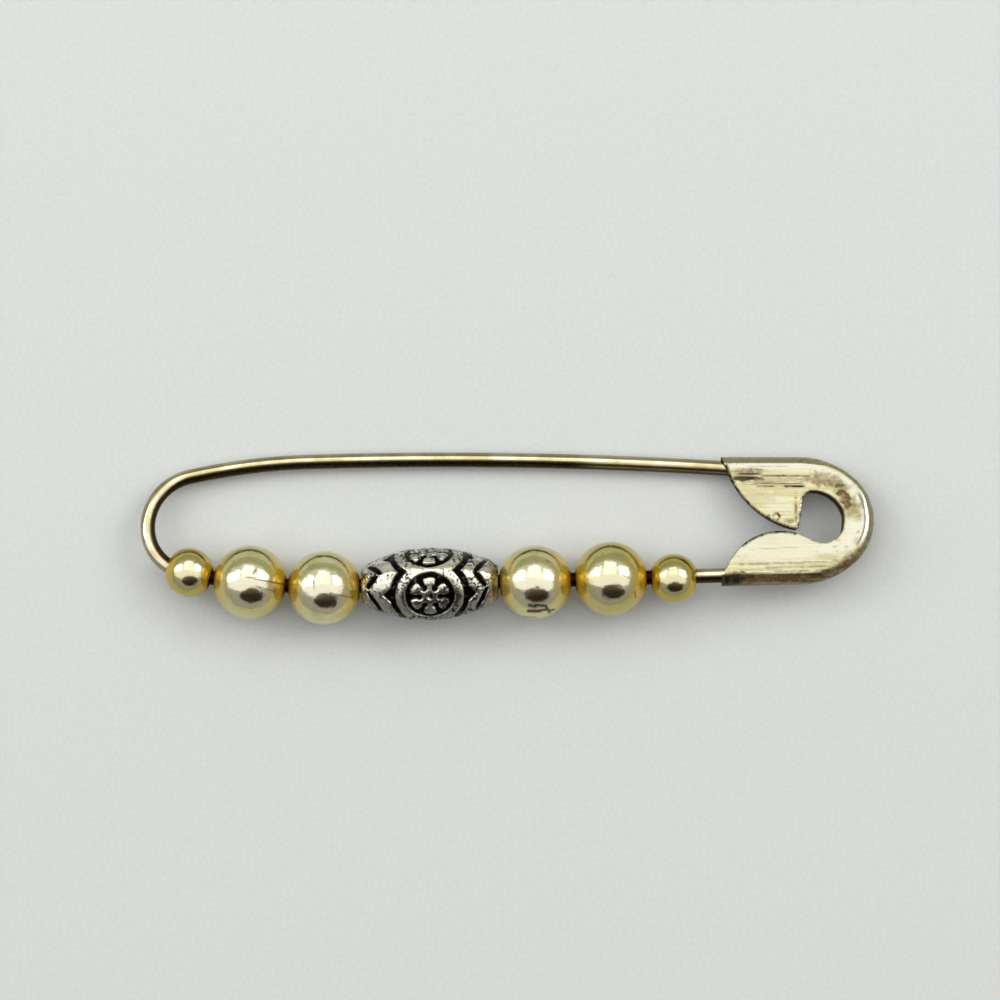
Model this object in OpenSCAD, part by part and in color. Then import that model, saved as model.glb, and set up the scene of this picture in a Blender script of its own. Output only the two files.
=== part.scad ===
// Beaded safety pin brooch, lying on a table.
// The pin is one spring wire, bent back on itself at the left and held by a folded
// sheet cap at the right. Loose beads are strung on the lower arm of the wire.
// The wire lies in a plane of its own: x runs from the bend to the cap, y from the
// bead arm to the pin arm. That plane is tipped about x until the beads and the
// cap's fold both touch the table, which is z = 0.

/* [Wire] */
// Diameter of the spring wire
wire_d = 1.2; // [1:0.05:1.3]
// Radius of the bend above its middle, on the pin arm
pin_bend_r = 4.3; // [4:0.1:5]
// Radius of the bend below its middle, on the bead arm
bead_bend_r = 3.85; // [3.6:0.05:4.4]
// Radius of the shoulder that follows the bend on the pin arm
shoulder_r = 50; // [40:1:60]
// Radius of the long bow of the pin arm
pin_bow_r = 360; // [300:5:420]
// Radius of the sag of the bead arm
sag_r = 57; // [50:1:70]
// Slope of the pin arm where the bend ends, in degrees
shoulder_slope = 13; // [11:0.5:15]
// Slope of the pin arm where its long bow starts, in degrees
bow_slope = 1.8; // [1.2:0.1:2.4]
// Slope down of the bead arm where the bend ends, in degrees
sag_slope = 11.5; // [9:0.5:12]
// Slope up of the bead arm where it runs straight to the cap, in degrees
rise_slope = 1.7; // [1:0.1:2.2]
// Length of the ground point of the pin
point_l = 5; // [3:0.5:7]
// Diameter of the pin's point at its very end
point_d = 0.12; // [0.08:0.02:0.3]
// Length of the pin arm inside the cap
pin_in_cap_l = 6.6; // [5.5:0.1:7]
// Length of the bead arm inside the cap
bead_arm_in_cap_l = 6.2; // [4:0.1:6.6]

/* [Cap] */
// Thickness of the cap's sheet
sheet_t = 0.25; // [0.2:0.01:0.3]
// Outer radius of the fold along the cap's edge
fold_r = 0.6; // [0.5:0.02:0.7]
// Room between the wire and each face of the cap
cap_play = 0.1; // [0.05:0.01:0.15]
// Room between the wire and the inside of the fold
seat_gap = 0.02; // [0.01:0.01:0.06]
// Length of the straight part of the cap's fold
cap_straight_l = 6.3; // [6:0.1:7.5]
// Angle at which the cap's two straight folds close in on each other
cap_taper = 1.5; // [0.5:0.1:3]
// Radius of the cap's two round corners, as a share of its height
corner_share = 0.63; // [0.58:0.01:0.66]
// Radius of the cap's far end between the corners, as a share of its height
end_share = 0.435; // [0.38:0.005:0.46]
// Radius of the fin's curved edge
fin_r = 7.65; // [6.6:0.05:9]
// Slit between the fin's tip and the lobe
tip_gap = 0.2; // [0.12:0.01:0.3]
// How much shorter the fin is on the back face than on the front face
back_trim = 0.3; // [0:0.02:0.4]

/* [Beads] */
// Diameter of the large round beads
large_d = 6; // [5.6:0.1:6.6]
// Diameter of the small round beads
small_d = 4; // [3.6:0.1:4.4]
// Play of the wire in a bead's hole, on each side
bead_play = 0.27; // [0.24:0.01:0.35]
// Usual gap between two beads
bead_gap = 0.28; // [0.2:0.02:0.4]
// Distance from the middle of the bend to the end of the first bead
bead_start = 1.62; // [1.6:0.02:2.4]
// Bare wire between the last bead and the cap
bare_l = 2.1; // [1.5:0.05:5]

/* [Barrel bead] */
// Length of the barrel bead
barrel_l = 11.1; // [10:0.1:12.5]
// Thickness of the barrel bead from face to face, as a share of the large beads
barrel_share = 0.96; // [0.92:0.005:1]
// Radius of each bulging face across the bead, as a share of its thickness
face_share = 0.695; // [0.64:0.005:0.78]
// Diameter of the barrel bead's two ends
barrel_end_d = 3.1; // [2.8:0.05:3.4]
// Length of the round collar at each end
collar_l = 0.5; // [0.3:0.05:0.8]
// Angle that the medallion in front is turned from the top, in degrees
barrel_roll = 22; // [0:1:30]
// Depth of the ground round the raised work
relief_h = 0.22; // [0.12:0.02:0.3]
// Diameter of the sunk ground of each round medallion
medallion_d = 4; // [3.7:0.05:4.3]
// Diameter of each flower from petal to petal
flower_d = 3.3; // [2.8:0.05:3.5]
// Angle between the bead's length and the four side petals of a flower, in degrees
side_petal = 28; // [24:1:32]
// Radius of the groove that frames each medallion
groove_r = 3; // [2.8:0.05:3.2]
// Width of that groove
groove_w = 0.4; // [0.3:0.02:0.5]

/* [Hidden] */
$fn = 64;
wire_r = wire_d / 2;
lap = 0.05;
lap_step = 0.002;
steel = "darkkhaki";
gilt = "gold";
silver = "silver";

// The string from left to right: half length, gap after as a share of bead_gap, and
// how far the bead hangs to the side as a share of bead_play
bore_r = wire_r + bead_play;
large_half = sqrt(pow(large_d / 2, 2) - pow(bore_r, 2));
small_half = sqrt(pow(small_d / 2, 2) - pow(bore_r, 2));
string = [[small_half, 0.9, 0], [large_half, 1, 0], [large_half, 0.5, 0.5], [barrel_l / 2, 0.5, 0],
          [large_half, 1.4, 0.4], [large_half, 1.5, 0], [small_half, 0, 0.5]];
function half_l(i) = string[i][0];
function gap_after(i) = string[i][1] * bead_gap;
function aside(i) = string[i][2] * bead_play;
function bead_x(i) = i <= 0 ? bead_start + half_l(0)
    : bead_x(i - 1) + half_l(i - 1) + gap_after(i - 1) + half_l(i);
last = len(string) - 1;
mouth_x = bead_x(last) + half_l(last) + bare_l;
rest_beads = [1, 2, 4, 5];

// The bead arm, from the middle of the bend: bend, sag, straight rise
sag_x = bead_bend_r * (1 - sin(sag_slope));
sag_centre = [sag_x + sag_r * sin(sag_slope), sag_r * cos(sag_slope) - bead_bend_r * cos(sag_slope)];
rise_start = sag_centre + sag_r * [sin(rise_slope), -cos(rise_slope)];
function bead_arm_y(x) = x < sag_x ? -sqrt(pow(bead_bend_r, 2) - pow(bead_bend_r - x, 2))
    : x < rise_start.x ? sag_centre.y - sqrt(pow(sag_r, 2) - pow(x - sag_centre.x, 2))
    : rise_start.y + (x - rise_start.x) * tan(rise_slope);

// A bead hangs between the wire's middle and the wire at the bead's two ends
function end_y(i, side) = bead_arm_y(bead_x(i) + side * half_l(i));
function bead_y(i) = (bead_arm_y(bead_x(i)) + (end_y(i, -1) + end_y(i, 1)) / 2) / 2 - aside(i);
function bead_slope(i) = atan2(end_y(i, 1) - end_y(i, -1), 2 * half_l(i));

// The pin arm, from the middle of the bend: bend, shoulder, long bow
shoulder_x = pin_bend_r * (1 - sin(shoulder_slope));
shoulder_centre = [shoulder_x + shoulder_r * sin(shoulder_slope),
                   (pin_bend_r - shoulder_r) * cos(shoulder_slope)];
bow_start = shoulder_centre + shoulder_r * [-sin(bow_slope), cos(bow_slope)];
bow_centre = bow_start - pin_bow_r * [-sin(bow_slope), cos(bow_slope)];
function bow_angle(x) = acos((x - bow_centre.x) / pin_bow_r);
function pin_arm_y(x) = bow_centre.y + pin_bow_r * sin(bow_angle(x));
pin_top_y = bow_centre.y + pin_bow_r;
taper_x = mouth_x + pin_in_cap_l - point_l;

// The cap's outside, worked out from where the two arms enter it
cap_t = wire_d + 2 * (cap_play + sheet_t);
seat = wire_r + seat_gap + sheet_t;
cap_top = pin_arm_y(mouth_x) + seat;
cap_bottom = bead_arm_y(mouth_x) - seat;
cap_h = cap_top - cap_bottom;
corner_r = corner_share * cap_h;
end_r = end_share * cap_h;
half_taper = cap_taper / 2;
end_high = [cap_straight_l, cap_h];
end_low = (cap_straight_l + cap_h * tan(half_taper)) * [cos(cap_taper), sin(cap_taper)];
end_mid = (end_high + end_low) / 2;
corner_at = [-corner_r * sin(half_taper), norm(end_high - end_low) / 2 - corner_r * cos(half_taper)];
corner_end = acos(-corner_at.y / (corner_r - end_r));
end_at = corner_at.x + (corner_r - end_r) * sin(corner_end);
cap_l = end_mid.x + end_at * cos(half_taper) + end_r;

// The opening in the cap's faces, from the lower corner of its mouth
lobe_r = 0.448 * cap_h;
lobe_at = [lobe_r, -0.04 * cap_h];
fin_edge = [0.582 * cap_h, 0.63 * cap_h];
hole_top = [0.692 * cap_h, 0.474 * cap_h];
hole_top_r = 0.248 * cap_h;
hole_low = [0.757 * cap_h, 0.49 * cap_h];
hole_low_r = 0.177 * cap_h;
fin_tip = [fin_edge[0], lobe_at.y + sqrt(pow(lobe_r, 2) - pow(fin_edge[0] - lobe_at.x, 2)) + tip_gap];
fin_chord = fin_tip - [0, cap_h];
fin_centre = [0, cap_h] + fin_chord / 2
    + sqrt(pow(fin_r, 2) - pow(norm(fin_chord) / 2, 2)) * [-fin_chord.y, fin_chord.x] / norm(fin_chord);

// The barrel bead: four faces, each turned about a line beyond the bead's middle
barrel_d = barrel_share * large_d;
face_r = face_share * barrel_d;
face_shift = face_r - barrel_d / 2;
face_end_r = barrel_end_d / 2 + face_shift;
barrel_half = barrel_l / 2 - collar_l / 2;
face_long_r = (pow(barrel_half, 2) + pow(face_r - face_end_r, 2)) / (2 * (face_r - face_end_r));
barrel_foot = face_r - face_shift * cos(barrel_roll);

// How far the ridges between the faces lie from a face's middle, where the groove ends
ridge_y = 0.71 * barrel_d / 2;

// How far the plane tips, and how high it lies, so that beads and fold meet the table
function tip_for(reach, drop, rise) = asin(rise / norm([reach, drop])) - atan2(drop, reach);
fold_drop = cap_t / 2 - fold_r;
tip_on_fold = max([for (i = rest_beads)
    tip_for(cap_top - fold_r - bead_y(i), fold_drop, large_d / 2 - fold_r)]);
tip_on_wire = max([for (i = rest_beads)
    tip_for(pin_top_y - bead_y(i), 0, large_d / 2 - wire_r)]);
tilt = min(tip_on_fold, tip_on_wire);
lift = max(fold_r + fold_drop * cos(tilt) + (cap_top - fold_r) * sin(tilt),
           wire_r + pin_top_y * sin(tilt));
function height(y) = lift - y * sin(tilt);

// Middle of the whole outline, which comes to stand over the origin
outline_x = (mouth_x + cap_l - wire_r) / 2;
low_y = min([for (i = rest_beads) bead_y(i) * cos(tilt) - large_d / 2]);
high_y = max(pin_top_y * cos(tilt) + wire_r,
             (cap_top - fold_r) * cos(tilt) + fold_drop * sin(tilt) + fold_r);
outline_y = (low_y + high_y) / 2;

module in_plane() {
    translate([-outline_x, -outline_y, lift]) rotate([-tilt, 0, 0]) children();
}

// Pieces that follow on each other reach back into each other by lap, and each is a
// hair thinner for its order than the one before it. So they become one piece.

// A stretch of wire round a centre, from one angle through a turn
module wire_arc(centre, r, from, turn, order) {
    translate([centre.x, centre.y, 0])
        rotate([0, 0, from])
            rotate_extrude(angle = turn, $fn = max(96, 12 * round(r)))
                translate([r, 0]) circle(r = wire_r - order * lap_step, $fn = 48);
}

// A round rod from a point, along a direction in the plane
module rod(at, slope, l, d_end, order) {
    translate([at.x, at.y, 0])
        rotate([0, 90, slope])
            translate([0, 0, -lap])
                cylinder(h = l + lap, r1 = wire_r - order * lap_step, r2 = d_end / 2, $fn = 48);
}

module fixed_wire() {
    sag_lap = lap / sag_r * 180 / PI;
    color(steel) in_plane() {
        wire_arc([bead_bend_r, 0], bead_bend_r, 180, 90 - sag_slope, 0);
        wire_arc(sag_centre, sag_r, 270 - sag_slope - sag_lap, sag_slope + rise_slope + sag_lap, 1);
        rod(rise_start, rise_slope, (mouth_x + bead_arm_in_cap_l - rise_start.x) / cos(rise_slope),
            wire_d - 4 * lap_step, 2);
    }
}

module pin_arm() {
    bow_turn = 90 + bow_slope - bow_angle(taper_x);
    shoulder_lap = lap / shoulder_r * 180 / PI;
    bow_lap = lap / pin_bow_r * 180 / PI;
    color(steel) in_plane() {
        wire_arc([pin_bend_r, 0], pin_bend_r, 90 + shoulder_slope, 90 - shoulder_slope, 0);
        wire_arc(shoulder_centre, shoulder_r, 90 + bow_slope, shoulder_slope - bow_slope + shoulder_lap, 1);
        wire_arc(bow_centre, pin_bow_r, bow_angle(taper_x), bow_turn + bow_lap, 2);
        rod([taper_x, pin_arm_y(taper_x)], bow_angle(taper_x) - 90, point_l, point_d, 3);
    }
}

// Section of the cap's fold: x runs inwards from the outer edge
module fold_section(order) {
    thin = order * lap_step;
    inner_r = fold_r - sheet_t + thin;
    difference() {
        intersection() {
            union() {
                for (side = [-1, 1]) translate([fold_r, side * fold_drop]) circle(r = fold_r - thin);
                translate([thin, -fold_drop]) square([fold_r, 2 * fold_drop]);
            }
            translate([0, -cap_t / 2]) square([fold_r + lap, cap_t]);
        }
        for (side = [-1, 1]) translate([fold_r, side * fold_drop]) circle(r = inner_r);
        translate([sheet_t - thin, -fold_drop]) square([fold_r, 2 * fold_drop]);
        translate([fold_r, -fold_drop - inner_r]) square([fold_r, 2 * (fold_drop + inner_r)]);
    }
}

module fold_arc(centre, r, from, turn, order) {
    translate([centre.x, centre.y, 0])
        rotate([0, 0, from])
            rotate_extrude(angle = turn, $fn = 128)
                translate([r, 0]) mirror([1, 0]) fold_section(order);
}

// Moves to the cap's far end, midway between the two folds and along their bisector
module at_far_end() {
    translate([end_mid.x, end_mid.y, 0]) rotate([0, 0, half_taper]) children();
}

// The cap's outline from the side, drawn in from its outer edge
module cap_outline(inset) {
    start_x = -inset * sin(half_taper) - lap;
    turn_x = corner_at.x + (corner_r - inset) * sin(corner_end);
    polygon([[0, inset / cos(cap_taper)], end_low + inset * [-sin(cap_taper), cos(cap_taper)],
             end_high - [0, inset], [0, cap_h - inset]]);
    at_far_end() intersection() {
        translate(corner_at) circle(r = corner_r - inset - lap_step, $fn = 128);
        translate([corner_at.x, -corner_at.y]) circle(r = corner_r - inset - lap_step, $fn = 128);
        translate([start_x, -cap_h]) square([turn_x - start_x, 2 * cap_h]);
    }
    at_far_end() intersection() {
        translate([end_at, 0]) circle(r = end_r - inset - 2 * lap_step, $fn = 128);
        translate([turn_x - lap, -cap_h]) square([end_r, 2 * cap_h]);
    }
}

// The fin that guards the point: inside a round edge, left of a slanted one
module fin_outline(trim) {
    intersection() {
        translate(fin_centre) circle(r = fin_r - trim, $fn = 128);
        polygon([[-1, 0], [fin_edge[0] - 0.03, 0], fin_tip, [fin_edge[1], 0.7 * cap_h],
                 [fin_edge[1] + 0.05, cap_h + 1], [-1, cap_h + 1]]);
    }
}

module cap_opening(trim) {
    difference() {
        union() {
            translate([-1, 0]) square([fin_edge[0] + 1, cap_h]);
            square([hole_low.x - hole_low_r / 3, hole_low.y]);
            translate(hole_low) circle(r = hole_low_r);
            intersection() {
                translate(hole_top) circle(r = hole_top_r);
                translate([fin_edge[0], hole_low.y]) square(cap_h);
            }
        }
        fin_outline(trim);
        translate(lobe_at) circle(r = lobe_r, $fn = 128);
    }
}

module cap_face(trim) {
    linear_extrude(sheet_t) difference() {
        cap_outline(fold_r);
        cap_opening(trim);
    }
}

module cap() {
    corner_turn = corner_end - half_taper;
    corner_lap = lap / corner_r * 180 / PI;
    end_lap = lap / end_r * 180 / PI;
    color(gilt) in_plane() translate([mouth_x, cap_bottom, 0]) {
        translate([0, 0, cap_t / 2 - sheet_t]) cap_face(0);
        translate([0, 0, -cap_t / 2]) cap_face(back_trim);
        rotate([0, 0, cap_taper])
            rotate([90, 0, 90]) linear_extrude(norm(end_low) + lap) fold_section(1);
        translate([0, cap_h, 0])
            rotate([90, 0, 90]) linear_extrude(cap_straight_l + lap) mirror([1, 0]) fold_section(1);
        at_far_end() {
            fold_arc(corner_at, corner_r, 90 - corner_end, corner_turn + corner_lap, 2);
            fold_arc([corner_at.x, -corner_at.y], corner_r, half_taper - 90 - corner_lap,
                     corner_turn + corner_lap, 2);
            fold_arc([end_at, 0], end_r, corner_end - 90 - end_lap,
                     180 - 2 * (corner_end - end_lap), 3);
        }
    }
}

// Puts a bead on its arm: turned to the wire's run through it, and let down by drop
module on_arm(i, drop) {
    translate([0, 0, -drop]) in_plane()
        translate([bead_x(i), bead_y(i), 0]) rotate([0, 0, bead_slope(i)]) children();
}

module round_bead(d) {
    rotate([0, 90, 0]) rotate_extrude($fn = 96) intersection() {
        circle(d = d, $fn = 96);
        translate([bore_r, -d / 2]) square(d);
    }
}

module large_bead(i) {
    color(gilt) on_arm(i, height(bead_y(i)) - large_d / 2) round_bead(large_d);
}

module small_bead(i) {
    color(gilt) on_arm(i, 0.7 * bead_play) round_bead(small_d);
}

// One bulging face all round a line, drawn in by inset from the face
module face_barrel(inset) {
    rotate([0, 90, 0]) rotate_extrude($fn = 128) intersection() {
        translate([face_r - face_long_r, 0]) circle(r = face_long_r - inset, $fn = 360);
        translate([0, -barrel_half]) square([face_r, 2 * barrel_half]);
    }
}

// Raised flower with six petals, seen from above one face
module flower() {
    petal_r = flower_d / 7;
    circle(r = flower_d / 4, $fn = 32);
    for (a = [side_petal, 90, 180 - side_petal, 180 + side_petal, 270, 360 - side_petal]) rotate(a) {
        translate([flower_d / 2 - petal_r, 0]) circle(r = petal_r, $fn = 32);
        translate([flower_d / 4, 0]) circle(r = 0.75 * petal_r, $fn = 32);
    }
}

// What one face loses: the ground round the flower and the groove that frames it
module face_pattern() {
    difference() {
        circle(d = medallion_d);
        flower();
    }
    intersection() {
        difference() {
            circle(r = groove_r + groove_w / 2);
            circle(r = groove_r - groove_w / 2);
        }
        square([2 * barrel_half, 2 * ridge_y], center = true);
    }
}

module sunk_pattern() {
    difference() {
        linear_extrude(face_r) face_pattern();
        translate([0, 0, -face_shift]) face_barrel(relief_h);
    }
}

module barrel_bead() {
    drop = height(bead_y(3)) - barrel_foot;
    color(silver) on_arm(3, drop) rotate([barrel_roll + tilt, 0, 0]) difference() {
        union() {
            intersection_for (a = [0, 90, 180, 270])
                rotate([a, 0, 0]) translate([0, 0, -face_shift]) face_barrel(0);
            rotate([0, 90, 0]) cylinder(h = barrel_l, d = barrel_end_d - 0.2, center = true);
        }
        for (a = [0, 90, 180, 270]) rotate([a, 0, 0]) sunk_pattern();
        rotate([0, 90, 0]) cylinder(h = 2 * barrel_l, r = bore_r, center = true, $fn = 48);
    }
}

fixed_wire();
pin_arm();
cap();
small_bead(0);  // bead_1
large_bead(1);  // bead_2
large_bead(2);  // bead_3
barrel_bead();
large_bead(4);  // bead_4
large_bead(5);  // bead_5
small_bead(6);  // bead_6
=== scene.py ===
import math

import bmesh
import bpy
import numpy as np
from mathutils import Matrix, Vector, noise
from mathutils.geometry import delaunay_2d_cdt


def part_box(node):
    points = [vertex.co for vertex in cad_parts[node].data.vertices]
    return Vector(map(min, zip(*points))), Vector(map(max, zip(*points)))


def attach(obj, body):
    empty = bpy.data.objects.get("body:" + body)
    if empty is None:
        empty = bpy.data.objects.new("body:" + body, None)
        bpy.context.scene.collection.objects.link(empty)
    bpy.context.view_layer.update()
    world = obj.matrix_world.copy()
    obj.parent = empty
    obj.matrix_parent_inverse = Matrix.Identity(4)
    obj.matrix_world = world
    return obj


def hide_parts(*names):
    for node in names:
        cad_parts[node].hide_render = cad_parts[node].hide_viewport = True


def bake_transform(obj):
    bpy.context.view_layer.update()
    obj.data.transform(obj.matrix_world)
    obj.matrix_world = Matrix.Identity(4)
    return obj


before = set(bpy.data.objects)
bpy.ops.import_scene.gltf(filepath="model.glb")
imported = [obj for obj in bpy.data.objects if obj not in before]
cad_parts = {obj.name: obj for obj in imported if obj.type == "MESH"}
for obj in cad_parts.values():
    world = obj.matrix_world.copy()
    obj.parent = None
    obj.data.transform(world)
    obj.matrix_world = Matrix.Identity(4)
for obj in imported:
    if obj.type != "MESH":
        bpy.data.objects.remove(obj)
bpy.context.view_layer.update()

# lengths are in mm and slopes in degrees unless a note says otherwise; Blender takes metres
mm = 0.001

# The plane that the wire lies in: x runs from the bend to the cap, y from the beads to the
# pin arm. It is tipped about x until the beads and the cap meet the table.
wirePlane = {"tilt": 12.5712, "lift": 2.07406, "shiftX": -29.2023, "shiftY": 0.904351}


def toWorld(points):
    tilt = math.radians(wirePlane["tilt"])
    p = np.asarray(points, float).reshape(-1, 3)
    x = p[:, 0] + wirePlane["shiftX"]
    y = p[:, 1] * math.cos(tilt) + p[:, 2] * math.sin(tilt) + wirePlane["shiftY"]
    z = -p[:, 1] * math.sin(tilt) + p[:, 2] * math.cos(tilt) + wirePlane["lift"]
    return np.stack([x, y, z], 1) * mm


def hexColour(code):
    # a colour code as linear light
    parts = [int(code[i:i + 2], 16) / 255 for i in (1, 3, 5)]
    linear = [c / 12.92 if c <= 0.04045 else ((c + 0.055) / 1.055) ** 2.4 for c in parts]
    return (*linear, 1)


def feed(tree, node, inputs):
    # each input gets a link, a colour by its code or a plain value
    for name, value in inputs.items():
        socket = node.inputs[name]
        if isinstance(value, bpy.types.NodeSocket):
            tree.links.new(value, socket)
        else:
            socket.default_value = hexColour(value) if isinstance(value, str) else value


def adjust(thing, **settings):
    for name, value in settings.items():
        setattr(thing, name, value)
    return thing


def addNode(tree, kind, inputs=None, **settings):
    node = adjust(tree.nodes.new(kind), **settings)
    feed(tree, node, inputs or {})
    return node


def newMaterial(name):
    material = bpy.data.materials.new(name)
    material.use_nodes = True
    tree = material.node_tree
    tree.nodes.clear()
    shader = addNode(tree, "ShaderNodeBsdfPrincipled")
    addNode(tree, "ShaderNodeOutputMaterial", {"Surface": shader.outputs["BSDF"]})
    return material, tree, shader


def newPiece(name, data):
    piece = bpy.data.objects.new(name, data)
    bpy.context.collection.objects.link(piece)
    return piece


def newMesh(name, points, faces, material, smooth=True):
    mesh = bpy.data.meshes.new(name)
    mesh.from_pydata([tuple(p) for p in points], [], [tuple(f) for f in faces])
    mesh.validate()
    mesh.materials.append(material)
    if smooth:
        mesh.shade_smooth()
    return newPiece(name, mesh)


def outwards(piece):
    # turns all faces of a closed mesh to face out
    mesh = bmesh.new()
    mesh.from_mesh(piece.data)
    bmesh.ops.recalc_face_normals(mesh, faces=mesh.faces)
    mesh.to_mesh(piece.data)
    mesh.free()


def smoothStep(value, low, high):
    # 0 at low, 1 at high and a soft rise between, also where low is the larger
    share = np.clip((value - low) / (high - low), 0, 1)
    return share * share * (3 - 2 * share)


def stretchDistance(x, y, start, end):
    # distance to the stretch between two places, and how far along it that is, from 0 to 1
    start, end = np.array(start), np.array(end)
    way = end - start
    share = np.clip(((x - start[0]) * way[0] + (y - start[1]) * way[1]) / (way @ way), 0, 1)
    return np.hypot(x - start[0] - share * way[0], y - start[1] - share * way[1]), share


def storeValues(piece, **values):
    # one value for each point of the mesh, read back by its material
    for name, numbers in values.items():
        layer = piece.data.attributes.new(name, "FLOAT", "POINT")
        layer.data.foreach_set("value", np.ravel(numbers).astype(np.float32))


# Materials, all made of nodes


def mixColour(tree, factor, low, high):
    inputs = {"Factor": factor, "A": low, "B": high}
    return addNode(tree, "ShaderNodeMix", inputs, data_type="RGBA").outputs["Result"]


def spread(tree, value, low, high, start=0, end=1):
    # the value's range low to high, stretched to start to end
    inputs = {"Value": value, "From Min": low, "From Max": high, "To Min": start, "To Max": end}
    return addNode(tree, "ShaderNodeMapRange", inputs).outputs["Result"]


def combine(tree, operation, first, second):
    return addNode(tree, "ShaderNodeMath", {0: first, 1: second}, operation=operation).outputs[0]


def kept(tree, name):
    # a value that was stored on the mesh
    return addNode(tree, "ShaderNodeAttribute", attribute_name=name).outputs["Fac"]


def ownPlace(tree):
    # the place on the piece, in metres
    return addNode(tree, "ShaderNodeTexCoord").outputs["Object"]


def noiseShare(tree, place, size, detail, roughness=0.5):
    # noise about size mm across
    inputs = {"Vector": place, "Scale": 1 / (size * mm), "Detail": detail, "Roughness": roughness}
    return addNode(tree, "ShaderNodeTexNoise", inputs).outputs["Fac"]


def addBump(tree, shader, height, strength, rise):
    inputs = {"Height": height, "Strength": strength, "Distance": rise * mm}
    feed(tree, shader, {"Normal": addNode(tree, "ShaderNodeBump", inputs).outputs["Normal"]})


def wireMaterial():
    # spring steel, brass plated: bright along its top; brown-black on the side facing into the loop and
    # partly along its outer edge, tarnish with painted shade;
    # painted red-brown shade between the beads; rubbed to a pinkish tan in patches beside the first bead
    material, tree, shader = newMaterial("wornBrassWire")
    place = ownPlace(tree)
    cloudy = noiseShare(tree, place, 2.4, 4)
    drawn = noiseShare(tree, place, 0.25, 3)
    brass = mixColour(tree, spread(tree, cloudy, 0.4, 0.6), "#D2CAB2", "#B5AA86")
    worn = combine(tree, "MULTIPLY", kept(tree, "bendShare"), spread(tree, cloudy, 0.46, 0.54))
    plated = mixColour(tree, worn, brass, "#C9A68C")
    streaked = spread(tree, drawn, 0.25, 0.6, 0.93, 1)
    # tarnish with painted shade on the side facing into the loop and along the outer edge
    tarnish = combine(tree, "MULTIPLY", kept(tree, "underside"), streaked)
    dulled = mixColour(tree, tarnish, plated, "#32270F")
    # painted shade on the wire between the beads
    strung = kept(tree, "strung")
    dull = combine(tree, "MAXIMUM", tarnish, strung)
    feed(tree, shader, {"Base Color": mixColour(tree, strung, dulled, "#220D05"), "Metallic": 1,
                        "Roughness": spread(tree, dull, 0, 1, 0.14, 0.34)})
    return material


def giltBeadMaterial():
    # moulded plastic, vacuum metallised silver under a thin yellow lacquer: worn pale on top, straw yellow
    # round the sides, amber where the lacquer ran to the holes and, less metallic there, a painted amber
    # reflection of the neighbouring beads; with dark scratches and painted shade inside the bores
    material, tree, shader = newMaterial("metallisedGiltBead")
    place = ownPlace(tree)
    cloudy = noiseShare(tree, place, 1.1, 4)
    uneven = spread(tree, cloudy, 0.3, 0.7, -0.12, 0.12)
    along = combine(tree, "ADD", kept(tree, "along"), uneven)
    rightEnd, leftEnd = spread(tree, along, 0.42, 0.85), spread(tree, along, -0.52, -0.92)
    ends = combine(tree, "MAXIMUM", rightEnd, leftEnd)
    straw = mixColour(tree, spread(tree, cloudy, 0.42, 0.62), "#D2D1AA", "#C4C190")
    lacquer = mixColour(tree, kept(tree, "golden"), straw, "#B3A54C")
    pale = mixColour(tree, kept(tree, "worn"), lacquer, "#CCCBC4")
    # the amber ends, made less metallic below, also stand in for the neighbouring beads' amber reflection:
    # painted reflection
    gilt = mixColour(tree, ends, pale, "#C2A22A")
    # dark marks, and painted shade inside the bores
    marks = kept(tree, "marks")
    bare, thin = spread(tree, marks, 0.3, 1, 1, 0), spread(tree, ends, 0, 1, 1, 0.62)
    feed(tree, shader, {"Base Color": mixColour(tree, marks, gilt, "#140C04"),
                        "Metallic": combine(tree, "MULTIPLY", bare, thin),
                        "Roughness": spread(tree, ends, 0, 1, 0.17, 0.24),
                        "Coat Weight": spread(tree, marks, 0, 1, 0.6, 0),
                        "Coat Roughness": 0.04, "Coat Tint": "#FFF7D8"})
    addBump(tree, shader, noiseShare(tree, place, 0.9, 2), 0.8, 0.06)
    return material


def silverMaterial():
    # cast zinc alloy, silver plated: black oxide stays in the recesses, the high spots are rubbed bright but
    # pitted, and the lacquer has yellowed towards the ends;
    # the side facing -y is darkened with painted shade
    material, tree, shader = newMaterial("antiquedCastSilver")
    place = ownPlace(tree)
    pits = noiseShare(tree, place, 0.28, 5, 0.65)
    clusters = noiseShare(tree, place, 1.8, 2)
    pitted = combine(tree, "ADD", pits, spread(tree, clusters, 0.35, 0.65, -0.07, 0.07))
    pitted = spread(tree, pitted, 0.52, 0.6, 0, 0.95)
    dark = combine(tree, "MAXIMUM", kept(tree, "patina"), pitted)
    # painted shade: darker silver on the side facing -y
    dulled = mixColour(tree, kept(tree, "dull"), "#DEDBD0", "#8C8A80")
    silver = mixColour(tree, kept(tree, "endShare"), dulled, "#A8996F")
    feed(tree, shader, {"Base Color": mixColour(tree, dark, silver, "#0A0705"), "Metallic": 1,
                        "Roughness": spread(tree, dark, 0, 1, 0.17, 0.5)})
    addBump(tree, shader, pits, 0.5, 0.05)
    return material


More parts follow.
